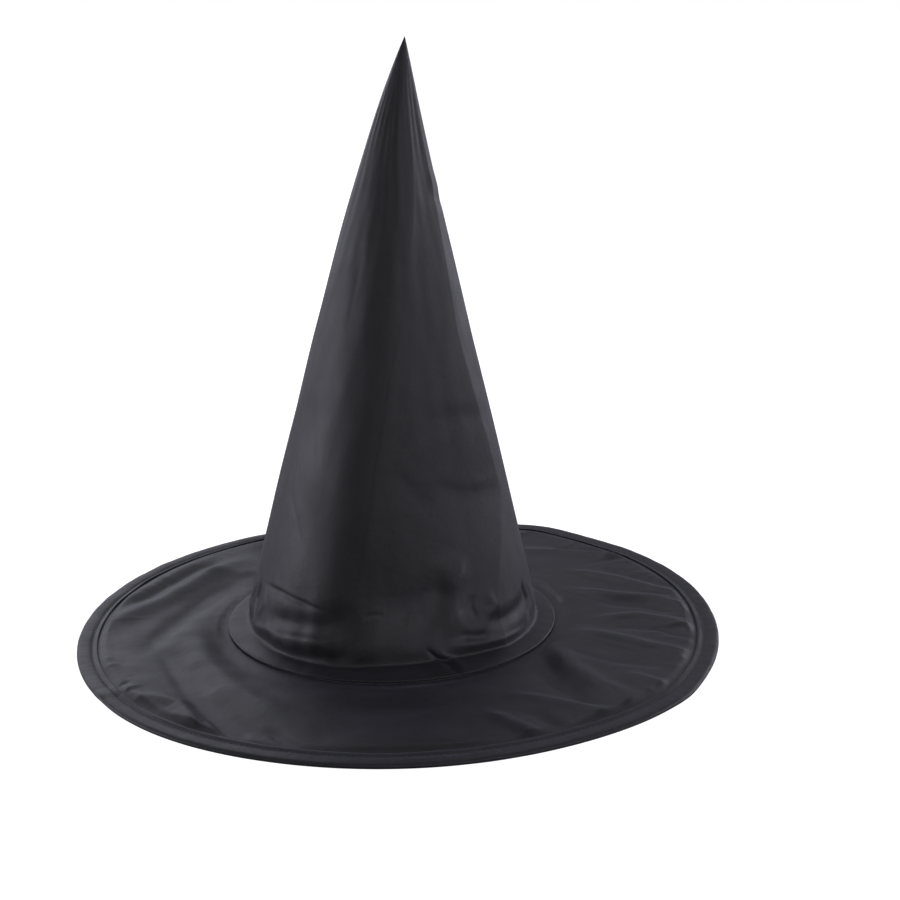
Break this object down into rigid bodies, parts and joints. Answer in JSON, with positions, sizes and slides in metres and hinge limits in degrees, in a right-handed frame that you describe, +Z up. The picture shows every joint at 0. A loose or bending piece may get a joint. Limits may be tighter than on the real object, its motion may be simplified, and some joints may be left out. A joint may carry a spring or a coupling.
{
  "type": "witch hat",
  "caption": "Soft pointed costume hat: a tall hollow cone of satin sewn to a wide flat round brim with a bound edge.",
  "frame": {"origin": "middle of the round brim, on the surface that the hat stands on", "axes": "+Z up towards the crown's point; the front of the hat faces -Y and its back seam is at +Y"},
  "size_m": [0.38, 0.38, 0.34],
  "materials": {
    "crown_satin": "soft satin sheen",
    "brim_satin": "soft satin sheen",
    "binding_satin": "soft satin sheen, folded tape",
    "head_tape": "plain woven tape",
    "interlining": "matt non-woven",
    "sewing_thread": "spun thread",
    "label_tape": "plain woven ribbon",
    "spring_steel": "rolled strip"
  },
  "bodies": {
    "root": {"crown_cloth": "crown_satin", "crown_interlining": "interlining", "crown_seam_allowance": "crown_satin", "crown_seam_stitching": "sewing_thread", "head_seam_allowance": "interlining", "head_seam_stitching": "sewing_thread", "head_seam_binding": "head_tape", "head_binding_stitching": "sewing_thread", "care_label": "label_tape", "brim_under_cloth": "brim_satin", "brim_stiffener": "interlining", "brim_top_cloth": "brim_satin", "edge_binding": "binding_satin", "edge_needle_thread": "sewing_thread", "edge_bobbin_thread": "sewing_thread", "brim_hoop": "spring_steel", "hoop_joiner": "spring_steel"}
  },
  "joints": []
}
